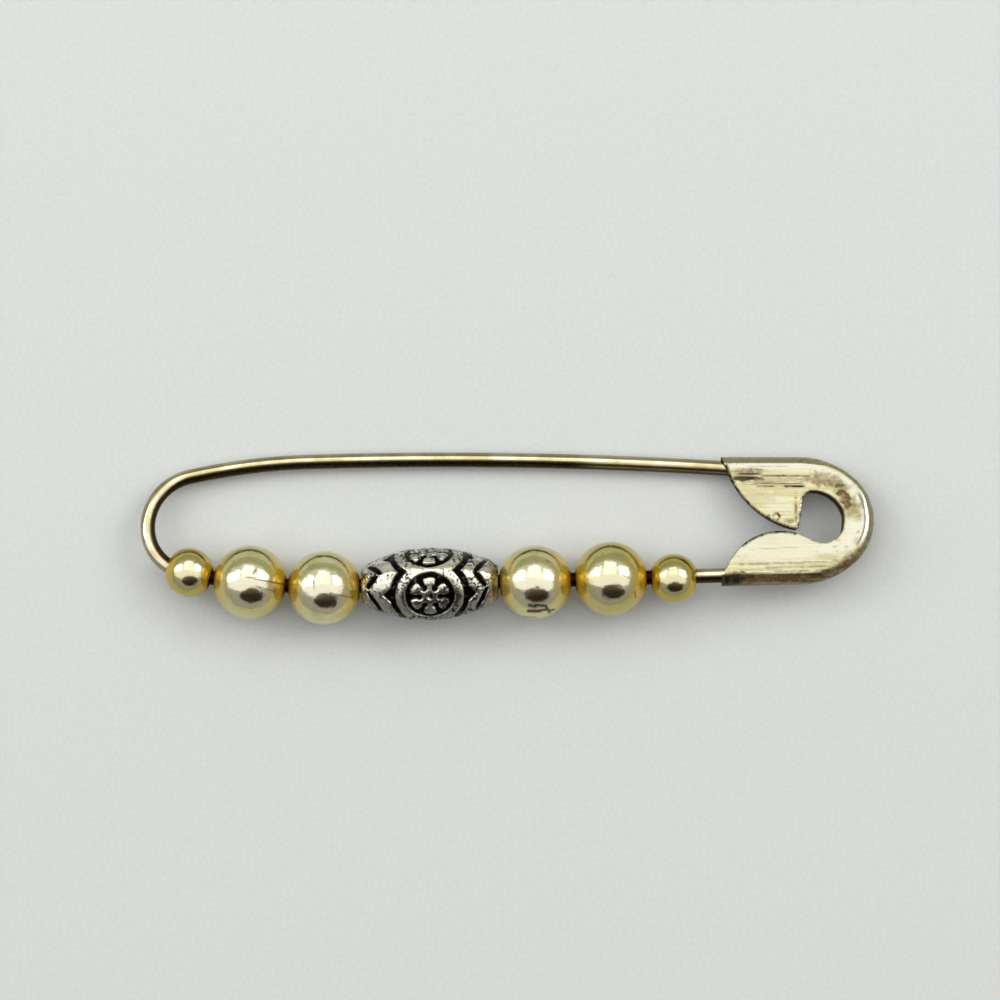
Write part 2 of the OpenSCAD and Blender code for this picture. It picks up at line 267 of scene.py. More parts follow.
def capMaterial():
    # sheet steel, gilt plated and brushed along its length: pale gold, rubbed to silver in patches, with
    # painted highlights beside the folds' crease and down the fin's right edge, brown tarnish with painted
    # shade on the folds, fine dark scratches and painted shade lines along the cut edges, in the creases and
    # in a dent by the mouth
    material, tree, shader = newMaterial("brushedGiltSheet")
    place = ownPlace(tree)
    brush = (1 / 5, 1 / 0.16, 1 / 0.5)
    stretched = addNode(tree, "ShaderNodeMapping", {"Vector": place, "Scale": brush})
    brushed = noiseShare(tree, stretched.outputs["Vector"], 1, 5, 0.6)
    cloudy = noiseShare(tree, place, 1.6, 4)
    mottled = noiseShare(tree, place, 0.5, 5, 0.7)
    gold = mixColour(tree, spread(tree, brushed, 0.3, 0.62), "#A0946F", "#BAB598")
    uneven = spread(tree, cloudy, 0.3, 0.6, 0.6, 1)
    # rubbed silver patches and painted highlights beside the crease and on the fin's right edge
    rubbed = combine(tree, "MULTIPLY", kept(tree, "rubbed"), uneven)
    pale = mixColour(tree, rubbed, gold, "#BAB8AB")
    streaked = spread(tree, brushed, 0.34, 0.6, 0.5, 1.3)
    broken = combine(tree, "MULTIPLY", streaked, spread(tree, mottled, 0.35, 0.65, 0.55, 1.35))
    # tarnish with painted shade
    stained = combine(tree, "MULTIPLY", kept(tree, "tarnish"), broken)
    brown = mixColour(tree, stained, pale, "#543F0C")
    # dark scratches with painted shade lines along the cut edges and creases
    feed(tree, shader, {"Base Color": mixColour(tree, kept(tree, "scored"), brown, "#1B150A"),
                        "Metallic": spread(tree, stained, 0.2, 1, 1, 0.35),
                        "Roughness": spread(tree, stained, 0, 1, 0.2, 0.42)})
    addBump(tree, shader, brushed, 0.25, 0.02)
    return material


def cutEdgeMaterial():
    # the sheet's cut edge: bare steel gone brown
    material, tree, shader = newMaterial("brownedCutEdge")
    feed(tree, shader, {"Base Color": "#3B2C16", "Metallic": 0.8, "Roughness": 0.45})
    return material


materials = {"wire": wireMaterial(), "giltBead": giltBeadMaterial(), "silver": silverMaterial(),
             "cap": capMaterial(), "cutEdge": cutEdgeMaterial()}

# Wire: one spring wire from inside the cap, along the beads, round and back

wire = {
    "radius": 0.6, "sides": 40, "step": 0.3, "pointLength": 5, "pointRadius": 0.06, "pointRings": 12,
    "mouthX": 46.6161, "beadArmInCap": 6.2, "riseStart": (16.1374, -4.89191), "riseSlope": 1.7,
    "sagCentre": (14.4464, 52.083), "sagRadius": 57, "sagSlope": 11.5,
    "beadBendRadius": 3.85, "pinBendRadius": 4.3,
    "shoulderCentre": (14.5803, -44.5287), "shoulderRadius": 50, "shoulderSlope": 13,
    "bowCentre": (24.3176, -354.376), "bowRadius": 360, "bowSlope": 1.8, "taperX": 48.2161,
    "blendReach": 2.5}

# where the wire's wear, tarnish and painted shade start and where they are full: along x and y in the frame,
# or by how far the surface faces into the loop or, for the outer side, out of it; and how strong it is
wireWear = {
    "bend": (-25.5, -28), "bendBelow": (0, 2.5), "bendBright": 0.3,
    "underside": (-0.15, 0.08), "outer": (0.5, 0.68), "outerShare": 0.4,
    "rubbedAlong": (5, 9), "rubbedRound": (0.85, 0.55), "rubbedShare": 0.6,
    "strungFrom": (-27.6, -27.2), "strungTo": (15.5, 15.1)}


def arcPoints(centre, radius, start, end, step):
    count = max(2, int(abs(math.radians(end - start)) * radius / step) + 1)
    turns = np.radians(np.linspace(start, end, count))
    return np.stack([centre[0] + radius * np.cos(turns), centre[1] + radius * np.sin(turns)], 1)


def linePoints(start, end, step):
    count = max(2, int(math.dist(start, end) / step) + 1)
    return np.linspace(start, end, count)


def wireRoute():
    # the centre line from the bead arm's end to the tip, and the share of the radius at each point
    w = wire
    armX = w["mouthX"] + w["beadArmInCap"]
    rise = math.tan(math.radians(w["riseSlope"]))
    armEnd = (armX, w["riseStart"][1] + (armX - w["riseStart"][0]) * rise)
    taperTurn = math.degrees(math.acos((w["taperX"] - w["bowCentre"][0]) / w["bowRadius"]))
    taperStart = arcPoints(w["bowCentre"], w["bowRadius"], taperTurn, taperTurn, 1)[0]
    slope = math.radians(taperTurn - 90)
    tip = taperStart + w["pointLength"] * np.array([math.cos(slope), math.sin(slope)])
    step, bendStep = w["step"], w["step"] / 2
    beadBend, pinBend = w["beadBendRadius"], w["pinBendRadius"]
    sagTurn, shoulderTurn, bowTurn = 270 - w["sagSlope"], 90 + w["shoulderSlope"], 90 + w["bowSlope"]
    stretches = [
        linePoints(armEnd, w["riseStart"], step),
        arcPoints(w["sagCentre"], w["sagRadius"], 270 + w["riseSlope"], sagTurn, step),
        arcPoints((beadBend, 0), beadBend, sagTurn, 180, bendStep),
        arcPoints((pinBend, 0), pinBend, 180, shoulderTurn, bendStep),
        arcPoints(w["shoulderCentre"], w["shoulderRadius"], shoulderTurn, bowTurn, step),
        arcPoints(w["bowCentre"], w["bowRadius"], bowTurn, taperTurn, step)]
    route = np.vstack([s[:-1] for s in stretches] + [stretches[-1][-1:]])
    share = np.linspace(0, 1, w["pointRings"])[1:]
    pointRadii = 1 + share * (w["pointRadius"] / w["radius"] - 1)
    radii = np.concatenate([np.ones(len(route)), pointRadii])
    route = np.vstack([route, taperStart + share[:, None] * (tip - taperStart)])
    return np.column_stack([route, np.zeros(len(route))]), radii


def sweptTree(material):
    # sweeps a round profile along the curve
    tree = bpy.data.node_groups.new("sweptWire", "GeometryNodeTree")
    sockets = {"Curve": ("INPUT", "NodeSocketGeometry"), "Wire radius": ("INPUT", "NodeSocketFloat"),
               "Sides": ("INPUT", "NodeSocketInt"), "Mesh": ("OUTPUT", "NodeSocketGeometry")}
    for name, (way, kind) in sockets.items():
        tree.interface.new_socket(name=name, in_out=way, socket_type=kind)
    given = addNode(tree, "NodeGroupInput").outputs
    circle = addNode(tree, "GeometryNodeCurvePrimitiveCircle", {
        "Resolution": given["Sides"], "Radius": given["Wire radius"]})
    thickness = addNode(tree, "GeometryNodeInputRadius")
    swept = addNode(tree, "GeometryNodeCurveToMesh", {
        "Curve": given["Curve"], "Profile Curve": circle.outputs["Curve"],
        "Scale": thickness.outputs["Radius"], "Fill Caps": True})
    geometry = swept.outputs["Mesh"]
    last = {"SetShadeSmooth": {}, "RealizeInstances": {}, "SetMaterial": {"Material": material}}
    for kind, inputs in last.items():
        node = addNode(tree, "GeometryNode" + kind, {"Geometry": geometry, **inputs})
        geometry = node.outputs["Geometry"]
    addNode(tree, "NodeGroupOutput", {"Mesh": geometry})
    return tree


def setModifier(modifier, values):
    for item in modifier.node_group.interface.items_tree:
        if item.in_out == "INPUT" and item.name in values:
            modifier[item.identifier] = values[item.name]


def plainMesh(source, name):
    # the modifier's result as a mesh of its own; what it was made from goes
    bpy.context.view_layer.update()
    graph = bpy.context.evaluated_depsgraph_get()
    mesh = bpy.data.meshes.new_from_object(source.evaluated_get(graph))
    mesh.name = name
    mesh.transform(source.matrix_world)
    bpy.data.objects.remove(source)
    return newPiece(name, mesh)


def storeWireWear(piece):
    # how dark or worn each place on the wire is: tarnish with painted shade facing into the loop and on the
    # outer edge, painted shade between the beads
    wear = wireWear
    count = len(piece.data.vertices)
    normals, places = np.empty(3 * count, np.float32), np.empty(3 * count, np.float32)
    piece.data.vertex_normals.foreach_get("vector", normals)
    piece.data.vertices.foreach_get("co", places)
    x, y = places[0::3] / mm, places[1::3] / mm
    bendX, bendY = wire["pinBendRadius"] + wirePlane["shiftX"], wirePlane["shiftY"]
    away = np.hypot(bendX - x, bendY - y)
    radial = (normals[0::3] * (bendX - x) + normals[1::3] * (bendY - y)) / away
    # painted shade with tarnish: darker where the surface faces into the bend's loop, and on the arms where
    # it faces -y
    inward = np.where(x < bendX, radial, -normals[1::3])
    bend = smoothStep(x, *wear["bend"])
    underside = smoothStep(inward - wear["bendBright"] * bend, *wear["underside"])
    outer = wear["outerShare"] * smoothStep(-inward, *wear["outer"])
    # towards the cap the tarnish and painted shade under the pin arm are lighter, but for its lowest strip
    rubbed = smoothStep(x, *wear["rubbedAlong"]) * (y > 0) * smoothStep(inward, *wear["rubbedRound"])
    underside = underside * (1 - wear["rubbedShare"] * rubbed)
    # painted shade on the wire between the beads
    strung = smoothStep(x, *wear["strungFrom"]) * smoothStep(x, *wear["strungTo"]) * (y < 0)
    storeValues(piece, underside=np.maximum(underside, outer), strung=strung,
                bendShare=bend * smoothStep(-y, *wear["bendBelow"]))


def makeWire():
    route, radii = wireRoute()
    curve = bpy.data.curves.new("wireRoute", "CURVE")
    curve.dimensions = "3D"
    spline = curve.splines.new("POLY")
    spline.points.add(len(route) - 1)
    for point, place, radius in zip(spline.points, toWorld(route), radii):
        point.co = (*place, 1)
        point.radius = radius
    source = newPiece("wireRoute", curve)
    sweep = source.modifiers.new("sweep", "NODES")
    sweep.node_group = sweptTree(materials["wire"])
    setModifier(sweep, {"Wire radius": wire["radius"] * mm, "Sides": wire["sides"]})
    piece = plainMesh(source, "springWire")
    piece.data.set_sharp_from_angle(angle=math.radians(60))
    storeWireWear(piece)
    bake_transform(piece)
    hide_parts("fixed_wire", "pin_arm")
    print("wire:", len(piece.data.polygons), "faces")


makeWire()

# Cap: one folded sheet, with a fin, a lobe and a hole through both faces

cap = {
    "mouthX": wire["mouthX"], "bottom": -4.85733, "height": 10.6603, "thickness": 1.9, "sheet": 0.25,
    "straight": 6.3, "taper": 1.5, "cornerRadius": 6.71601, "endRadius": 4.63724,
    # the fold: its width seen from above, how far it drops and the slopes it starts with
    "foldWidth": 0.74, "foldDrop": 0.8, "creaseSlope": 20, "endCreaseSlope": 12, "endTurn": (0, 0.5),
    "cornerNarrowing": 0.3, "cornerTurn": (0.3, 0.9), "foldRows": 13,
    "mouthSlant": 0.26, "slantReach": 1.2,
    "lobe": (4.77583, -0.426413), "lobeRadius": 4.77583,
    "finCentre": (7.55526, 11.8605), "finRadius": 7.65, "finTip": (6.20431, 4.33078),
    "finTop": (6.71601, 7.46221), "holeTop": (7.37695, 5.053), "holeTopRadius": 2.64376,
    "holeLow": (8.06987, 5.22356), "holeLowRadius": 1.88688, "sideShift": 0.03,
    "meetBetween": (7.3, 8.3), "meetTries": 400, "tipRound": 0.16, "cornerRound": 0.5, "sideRound": 0.7,
    "frontTrim": 0.1, "backTrim": 0.42, "holeShift": (-0.35, 0.75),
    # the faces' swell
    "crown": 0.04, "crownWidth": 1.3, "dent": 0.02, "dentSize": 2.6, "dentFade": 0.8,
    "flankWidth": 0.24, "flankSlope": 0.28, "edgeRound": 0.05,
    # the mesh: steps along the edges and the grids in from them
    "rim": 0.11, "along": 0.12, "cutStep": 0.1, "gridReach": (13, 11), "frontGrid": (0.14, 0.09),
    "backGrid": (0.4, 0.35), "joinReach": 0.002}

# wear, painted shade and painted highlights on the front, from the mouth's lower corner: scratches and shade
# lines run between two places, with half width and strength; patches have a middle, two radii and a strength;
# pairs are where a thing starts and where it is full
capWear = {
    # tarnish with painted shade on the fold, more on its lower side
    "raggedSize": 0.35, "foldTarnish": 0.45, "lowTarnish": 0.45, "lowBelow": (4.5, 1.5),
    "farX": (7.2, 10), "farY": (2.6, 4), "farNarrowing": 0.42, "backTarnish": 0.3,
    # the painted highlight line beside the crease, as shares of the tarnish's reach and then in mm
    "rubbedFrom": (0.95, 1.08), "rubbedTo": (1.35, 1.0), "rubbedAbove": (1.6, 3.4),
    # the painted shade line in the far end's crease
    "creaseStrength": 0.8, "creaseHalf": 0.04, "creaseX": (10.6, 11.2), "creaseFrom": (2.8, 3.4),
    "creaseTo": (7.8, 7.2),
    # the five wide lines at the lower left by the mouth paint the shade of a dent, and the long line at y
    # 0.72 to 0.78 paints shade in the lower crease
    "scratches": [
        ((1.3, 9.09), (3.2, 9.09), 0.07, 1.1), ((3.1, 8.96), (7.2, 8.93), 0.05, 1.0),
        ((0.95, 8.83), (3.0, 8.78), 0.09, 1.2), ((1.0, 8.62), (2.6, 8.66), 0.07, 1.1),
        ((1.5, 8.72), (3.3, 8.7), 0.07, 0.9), ((2.6, 8.3), (6.8, 8.27), 0.05, 0.8),
        ((1.6, 8.42), (4.2, 8.4), 0.04, 0.5), ((2.0, 9.72), (5.5, 9.7), 0.04, 0.35),
        ((2.8, 8.07), (4.3, 8.05), 0.06, 0.8), ((5.1, 8.06), (6.75, 8.06), 0.07, 1.1),
        ((6.0, 8.62), (7.3, 8.6), 0.04, 0.5), ((1.7, 8.2), (2.9, 8.2), 0.04, 0.4),
        ((2.2, 7.42), (3.5, 7.42), 0.04, 0.25), ((4.1, 5.99), (5.6, 5.97), 0.04, 0.4),
        ((1.3, 9.55), (3.0, 9.5), 0.06, 0.35), ((1.1, 9.35), (2.6, 9.33), 0.05, 0.3),
        ((2.1, 2.8), (6.3, 3.0), 0.03, 0.35), ((1.1, 1.62), (6.6, 1.72), 0.05, 0.5),
        ((6.5, 1.78), (8.6, 1.8), 0.06, 0.5), ((1.2, 1.15), (5.0, 1.1), 0.07, 0.3),
        ((3.4, 1.3), (8.8, 1.42), 0.05, 0.55), ((4.2, 0.98), (9.2, 1.15), 0.05, 0.6),
        ((1.3, 1.5), (4.0, 1.56), 0.07, 0.2), ((2.4, 0.72), (8.2, 0.78), 0.08, 0.95),
        ((-0.3, 0.62), (2.7, 0.68), 0.12, 1.1), ((-0.3, 0.42), (2.0, 0.46), 0.11, 1.0),
        ((-0.3, 0.2), (1.5, 0.24), 0.13, 1.1), ((-0.3, 0.0), (1.1, 0.0), 0.12, 0.9),
        ((0.9, 0.72), (1.5, 0.74), 0.16, 1.0), ((11.0, 4.2), (11.13, 4.35), 0.07, 0.6),
        ((11.05, 5.55), (11.35, 5.7), 0.06, 0.5), ((9.0, 3.03), (9.35, 3.05), 0.05, 0.6),
        ((10.0, 3.0), (10.2, 3.06), 0.06, 0.6), ((10.3, 2.68), (10.4, 2.72), 0.06, 0.5),
        ((3.78, 5.66), (3.84, 5.6), 0.08, 0.8)],
    # the strong patch at the mouth's lower corner paints the shade of a dent
    "stains": [
        ((2.3, 9.3), (1.5, 0.3), 0.65), ((2.1, 9.1), (1.2, 0.14), 1.0), ((2.1, 8.7), (1.2, 0.2), 1.2),
        ((3.1, 8.6), (0.7, 0.25), 0.7), ((4.2, 8.55), (3.4, 0.35), 0.3),
        ((6.8, 8.5), (0.45, 0.14), 0.5), ((5.3, 8.1), (2.0, 0.3), 0.25),
        ((5.5, 5.15), (0.6, 0.28), 0.5), ((6.02, 6.1), (0.14, 1.35), 0.75),
        ((3.0, 7.2), (2.2, 0.8), 0.14), ((8.0, 8.7), (1.4, 0.7), 0.55), ((9.0, 8.4), (1.0, 0.7), 0.6),
        ((9.8, 7.9), (0.9, 0.6), 0.7), ((9.75, 7.6), (0.5, 0.55), 1.1), ((10.1, 7.0), (0.55, 0.8), 1.0),
        ((10.33, 6.4), (0.35, 0.35), 1.1), ((10.6, 6.3), (0.9, 1.0), 0.55),
        ((11.0, 5.6), (0.6, 0.5), 0.3), ((9.45, 8.05), (0.25, 0.25), 0.95),
        ((9.85, 7.4), (0.22, 0.28), 0.95), ((10.9, 3.5), (0.3, 0.35), 0.25),
        ((1.3, 0.35), (1.6, 0.6), 1.5), ((5.5, 0.35), (7.5, 0.55), 0.85),
        ((10.8, 1.7), (1.8, 1.0), 0.6), ((4.5, 10.4), (6.0, 0.4), 0.35), ((8.6, 2.2), (1.3, 0.3), 0.2)],
    # the long patch along the top crease and the narrow one down the fin's right edge are painted highlights
    "rubbed": [
        ((10.6, 4.1), (1.3, 1.5), 1.0), ((4.5, 9.9), (5.0, 0.3), 1.0), ((6.5, 6.0), (0.16, 1.5), 1.0),
        ((4.2, 3.0), (5.4, 1.7), 0.75), ((8.8, 3.0), (1.6, 0.7), 0.9), ((4.6, 6.5), (1.2, 0.9), 0.5)],
    # painted shade along the cut edge, where the sheet's section and the back face show in shadow: middle,
    # radii, reach in, strength
    "edges": [
        ((3.3, 6.5), (3.4, 4.0), 0.2, 1.0), ((0.4, 9.2), (0.9, 1.5), 0.26, 1.0),
        ((4.0, 3.6), (5.0, 3.4), 0.07, 0.8), ((9.6, 5.2), (1.0, 1.9), 0.12, 0.9),
        ((8.0, 7.4), (1.8, 0.6), 0.1, 0.9)],
    "pit": (4.41, 5.53), "pitRadius": 0.28, "pitLine": (0.12, 0.05), "pitStrength": 0.85}


def farEnd():
    # centres of the cap's corner and end arcs, in a frame midway between its two folds
    half = math.radians(cap["taper"] / 2)
    high = np.array([cap["straight"], cap["height"]])
    lowLength = cap["straight"] + cap["height"] * math.tan(half)
    low = lowLength * np.array([math.cos(2 * half), math.sin(2 * half)])
    corner = np.array([-cap["cornerRadius"] * math.sin(half),
                       np.linalg.norm(high - low) / 2 - cap["cornerRadius"] * math.cos(half)])
    turn = math.acos(-corner[1] / (cap["cornerRadius"] - cap["endRadius"]))
    end = corner[0] + (cap["cornerRadius"] - cap["endRadius"]) * math.sin(turn)
    spin = np.array([[math.cos(half), math.sin(half)], [-math.sin(half), math.cos(half)]])
    return high, low, (high + low) / 2, corner, math.degrees(turn), np.array([end, 0]), spin


def capOutline():
    # the outer edge from the mouth's top, round the far end, to the mouth's bottom
    high, low, middle, corner, turn, end, spin = farEnd()
    half = cap["taper"] / 2
    step = cap["along"]
    points = linePoints((0, cap["height"]), high, step)[:-1]
    path, normals = [points], [np.tile([0.0, 1.0], (len(points), 1))]
    for centre, radius, start, stop in (
            (corner, cap["cornerRadius"], 90 - half, 90 - turn),
            (end, cap["endRadius"], 90 - turn, turn - 90),
            (corner * (1, -1), cap["cornerRadius"], turn - 90, half - 90)):
        points = arcPoints(centre, radius, start, stop, step)[:-1]
        path.append(points @ spin + middle)
        normals.append((points - centre) / radius @ spin)
    points = linePoints(low, (0, 0), step)
    slope = math.radians(cap["taper"])
    path.append(points)
    normals.append(np.tile([math.sin(slope), -math.cos(slope)], (len(points), 1)))
    return np.vstack(path), np.vstack(normals)


def circleArc(centre, radius, start, end):
    # points on a circle between two places on it, the short way round
    a = math.atan2(start[1] - centre[1], start[0] - centre[0])
    b = math.atan2(end[1] - centre[1], end[0] - centre[0])
    b = a + (b - a + math.pi) % (2 * math.pi) - math.pi
    return arcPoints(centre, radius, math.degrees(a), math.degrees(b), cap["cutStep"])


def circleHeight(centre, radius, x, side):
    # y of the circle's upper half (1) or lower half (-1) at x
    return centre[1] + side * np.sqrt(radius ** 2 - (x - centre[0]) ** 2)


def circleWidth(centre, radius, y, side):
    # x of the circle's right half (1) or left half (-1) at y
    return circleHeight(centre[::-1], radius, y, side)


def roundedCorners(points, places, radius):
    # pulls the path's points near each place towards the mean of their neighbours
    path = points.copy()
    for _ in range(int(40 * radius)):
        near = np.zeros(len(path), bool)
        for place in places:
            near |= np.linalg.norm(path - place, axis=1) < radius
        near[[0, -1]] = False
        pulled = path.copy()
        pulled[1:-1] = (path[:-2] + path[2:]) / 2
        path[near] = pulled[near]
    return path


def openingPath(trim):
    # the cut edge of one face, from the mouth's top down the fin, up its right edge, round the
    # hole and back over the lobe to the mouth's bottom. Behind, the fin is shorter and the hole
    # reaches higher, so the front hides both
    edge, top = cap["foldWidth"], cap["height"] - cap["foldWidth"]
    fin, finR = np.array(cap["finCentre"]), cap["finRadius"] - trim
    finStart = (circleWidth(fin, finR, top, -1), top)
    tip = (cap["finTip"][0], circleHeight(fin, finR, cap["finTip"][0], -1))
    finTop = np.array(cap["finTop"])
    shift = (trim - cap["frontTrim"]) * np.array(cap["holeShift"])
    holeTop, holeTopR = np.array(cap["holeTop"]) + shift, cap["holeTopRadius"]
    holeLow, holeLowR = np.array(cap["holeLow"]) + shift * (1, 0), cap["holeLowRadius"]
    lobe, lobeR = np.array(cap["lobe"]), cap["lobeRadius"]
    corner = (finTop[0], circleHeight(holeTop, holeTopR, finTop[0], 1))
    side = (circleWidth(holeTop, holeTopR, holeLow[1], 1) - cap["sideShift"], holeLow[1])
    # the lobe's tip, where its circle meets the hole's
    xs = np.linspace(*cap["meetBetween"], cap["meetTries"])
    gap = circleHeight(lobe, lobeR, xs, 1) - circleHeight(holeLow, holeLowR, xs, -1)
    meetX = xs[np.argmin(np.abs(gap))]
    meet = (meetX, circleHeight(lobe, lobeR, meetX, 1))
    lobeEnd = (circleWidth(lobe, lobeR, edge, -1), edge)
    low = (holeLow[0], holeLow[1] - holeLowR)
    parts = [circleArc(fin, finR, finStart, tip), linePoints(tip, finTop, cap["cutStep"]),
             linePoints(finTop, corner, cap["cutStep"]), circleArc(holeTop, holeTopR, corner, side),
             circleArc(holeLow, holeLowR, side, low), circleArc(holeLow, holeLowR, low, meet),
             circleArc(lobe, lobeR, meet, lobeEnd)]
    path = np.vstack([p[:-1] for p in parts] + [parts[-1][-1:]])
    path = roundedCorners(path, [tip], cap["tipRound"])
    path = roundedCorners(path, [corner], cap["cornerRound"])
    return roundedCorners(path, [side, meet], cap["sideRound"])


def slantedMouth(points, depth):
    # the fold's end beside the pin arm is cut on the slant, in line with the fin
    share = depth / cap["foldWidth"] * np.clip(1 - points[..., 0] / cap["slantReach"], 0, 1)
    slanted = points.copy()
    slanted[..., 0] += cap["mouthSlant"] * share * (points[..., 1] > cap["height"] / 2)
    return slanted


def depthBehind(points, outline):
    # how far in from the outer edge each point lies
    return np.array([np.min(np.hypot(*(outline - p).T)) for p in points])


def sheetHeight(points, outline):
    # how far the face swells out from flat: a low crown, shallow dents and the fin's bent flank
    away = np.maximum(depthBehind(points, outline) - cap["foldWidth"], 0)
    crown = cap["crown"] * (1 - np.exp(-(away / cap["crownWidth"]) ** 2))
    dents = np.array([noise.noise((x / cap["dentSize"], y / cap["dentSize"], 3.7)) for x, y in points])
    fade = 1 - np.exp(-(away / cap["dentFade"]) ** 2)
    flank = stretchDistance(points[:, 0], points[:, 1], cap["finTip"], cap["finTop"])[0]
    bent = cap["flankSlope"] * np.maximum(cap["flankWidth"] - flank, 0)
    return crown + cap["dent"] * dents * fade - bent


def patchReach(x, y, middle, radii):
    # 0 in the patch's middle, 1 on its rim
    return np.hypot((x - middle[0]) / radii[0], (y - middle[1]) / radii[1])


def foldWear(x, y, depth, ragged):
    # tarnish with painted shade on the fold, more on its lower side, and the painted highlight line beside
    # its crease
    wear = capWear
    low = wear["lowTarnish"] * smoothStep(y, *wear["lowBelow"])
    far = smoothStep(x, *wear["farX"]) * smoothStep(y, *wear["farY"])
    reach = cap["foldWidth"] * (1 - wear["farNarrowing"] * far)
    tarnish = (wear["foldTarnish"] + low) * (1 - smoothStep(depth, 0.6 * reach, reach)) * (1 + 0.8 * ragged)
    start, full = wear["rubbedFrom"]
    rubbed = smoothStep(depth, start * reach, full * reach) * smoothStep(depth, *wear["rubbedTo"])
    return tarnish, rubbed * smoothStep(y, *wear["rubbedAbove"])


def scratchWear(x, y, ragged):
    # the dark scratches, the painted shade lines of a dent and of the lower crease, and the small punched
    # ring, ragged and faded at the lines' ends
    wear = capWear
    scored = np.zeros(len(x))
    for start, end, width, strength in wear["scratches"]:
        distance, share = stretchDistance(x, y, start, end)
        fade = smoothStep(share, 0, 0.06) * (1 - smoothStep(share, 0.94, 1)) * 0.7 + 0.3
        line = 1 - smoothStep(distance, width * 0.5, width * 1.7)
        scored = np.maximum(scored, strength * fade * line * (0.85 + 0.5 * ragged))
    pitX, pitY = x - wear["pit"][0], y - wear["pit"][1]
    uneven = wear["pitRadius"] * (1 + 0.3 * ragged)
    ring = smoothStep(np.abs(np.hypot(pitX, pitY) - uneven), *wear["pitLine"])
    ring = ring * (0.75 + 0.35 * np.cos(np.arctan2(pitY, pitX) - 0.3))
    return np.maximum(scored, wear["pitStrength"] * ring)


def wearValues(points, depth, fromCut, front):
    # tarnish with painted shade, dark scoring with painted shade lines, and rubbed shares with painted
    # highlights at points on the sheet, depth in from its outer edge and fromCut in from the opening's
    wear, size = capWear, capWear["raggedSize"]
    x, y = points[:, 0], points[:, 1]
    ragged = np.array([noise.fractal((px / size, py / size, 1.3), 0.6, 2, 3) for px, py in points])
    tarnish, rubbed = foldWear(x, y, depth, ragged)
    if not front:
        return tarnish + wear["backTarnish"] * np.maximum(ragged, 0), np.zeros(len(points)), rubbed
    # painted shade line in the far end's crease
    crease = wear["creaseStrength"] * (np.abs(depth - cap["foldWidth"]) < wear["creaseHalf"])
    crease = crease * smoothStep(x, *wear["creaseX"])
    crease = crease * smoothStep(y, *wear["creaseFrom"]) * smoothStep(y, *wear["creaseTo"])
    scored = np.maximum(crease, scratchWear(x, y, ragged))
    for middle, radii, strength in wear["stains"]:
        reach = patchReach(x, y, middle, radii) + 0.45 * ragged
        tarnish = np.maximum(tarnish, strength * (1 - smoothStep(reach, 0.45, 1.15)))
    for middle, radii, strength in wear["rubbed"]:
        reach = patchReach(x, y, middle, radii) + 0.3 * ragged
        rubbed = np.maximum(rubbed, strength * (1 - smoothStep(reach, 0.6, 1.1)))
    # painted shade along the cut edges
    for middle, radii, width, strength in wear["edges"]:
        dark = 1 - smoothStep(fromCut, width * (0.5 + 0.3 * ragged), width * 1.3)
        scored = np.maximum(scored, strength * dark * (patchReach(x, y, middle, radii) < 1))
    return tuple(np.clip(values, 0, 1) for values in (tarnish, scored, rubbed))


def inside(points, loop):
    # whether each point lies within the closed loop
    x, y = points[:, 0], points[:, 1]
    found = np.zeros(len(points), bool)
    for (ax, ay), (bx, by) in zip(loop, np.roll(loop, -1, axis=0)):
        cross = (ay > y) != (by > y)
        found ^= cross & (x < (bx - ax) * (y - ay) / (by - ay + 1e-12) + ax)
    return found


def capFace(outline, normals, trim, side):
    # one face of the sheet: its loop is the fold's crease and the opening's cut edge
    edge = slantedMouth(outline - normals * cap["foldWidth"], cap["foldWidth"])
    cut = openingPath(trim)[::-1]
    first = np.argmin(np.hypot(*(edge - cut[-1]).T))
    last = np.argmin(np.hypot(*(edge - cut[0]).T))
    edge = edge[first:last + 1]
    loop = np.vstack([edge, cut[1:-1]])
    stepX, stepY = cap["frontGrid"] if side > 0 else cap["backGrid"]
    reachX, reachY = cap["gridReach"]
    xs, ys = np.meshgrid(np.arange(0, reachX, stepX), np.arange(0, reachY, stepY))
    xs = xs + (np.arange(xs.shape[0]) % 2)[:, None] * stepX / 2
    grid = np.stack([xs.ravel(), ys.ravel()], 1)
    grid = grid[inside(grid, loop)]
    grid = grid[depthBehind(grid, loop) > (cap["rim"] if side > 0 else 2 * cap["rim"])]
    flat = np.vstack([loop, grid])
    count = len(loop)
    ring = [(i, (i + 1) % count) for i in range(count)]
    points, _, faces, source, _, _ = delaunay_2d_cdt([Vector(p) for p in flat], ring, [], 1, 1e-6)
    points = np.array([tuple(p) for p in points])
    centres = np.array([points[list(f)].mean(0) for f in faces])
    faces = [tuple(f) for f, within in zip(faces, inside(centres, loop)) if within]
    half = cap["thickness"] / 2
    height = half + sheetHeight(points, outline)
    height[[i for i, s in enumerate(source) if s and s[0] < len(edge)]] = half
    values = wearValues(points, depthBehind(points, outline), depthBehind(points, cut), side > 0)
    return np.column_stack([points, side * height]), faces, values


